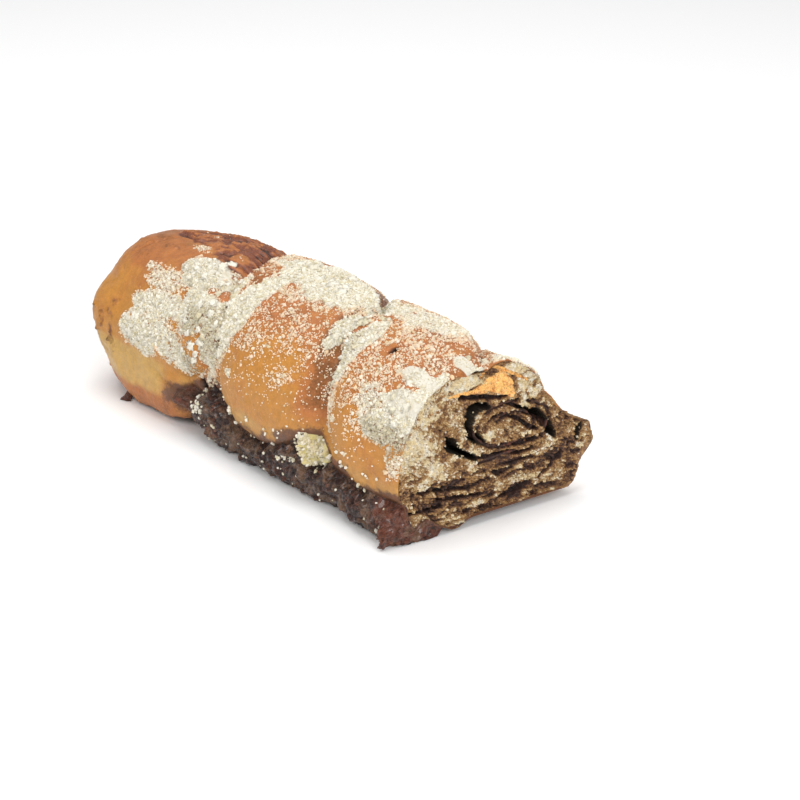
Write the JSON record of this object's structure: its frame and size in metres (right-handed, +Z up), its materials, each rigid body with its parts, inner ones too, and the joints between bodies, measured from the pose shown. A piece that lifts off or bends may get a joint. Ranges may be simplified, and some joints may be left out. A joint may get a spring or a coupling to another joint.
{
  "type": "cinnamon babka",
  "caption": "Twisted cinnamon loaf with streusel topping, cut near one end so that its rolled and layered filling shows; it rests on a flat sticky underside.",
  "frame": {"origin": "the middle of the loaf's underside, on the surface that it rests on", "axes": "+X along the loaf towards the cut face, +Y towards the back side, +Z up"},
  "size_m": [0.251, 0.1136, 0.0783],
  "materials": {
    "crust": "baked golden-brown crust with a slight sheen, tan crumb on the cut, pale streusel on top",
    "filling": "dark brown moist cinnamon filling",
    "sticky_filling": "dark caramelised filling, sticky and glossy",
    "streusel": "dry pale cream crumbs"
  },
  "bodies": {
    "root": {"dough": "crust", "filling_roll": "filling", "filling_layers": "filling", "sticky_base": "sticky_filling", "streusel_clump": "streusel"}
  },
  "joints": []
}
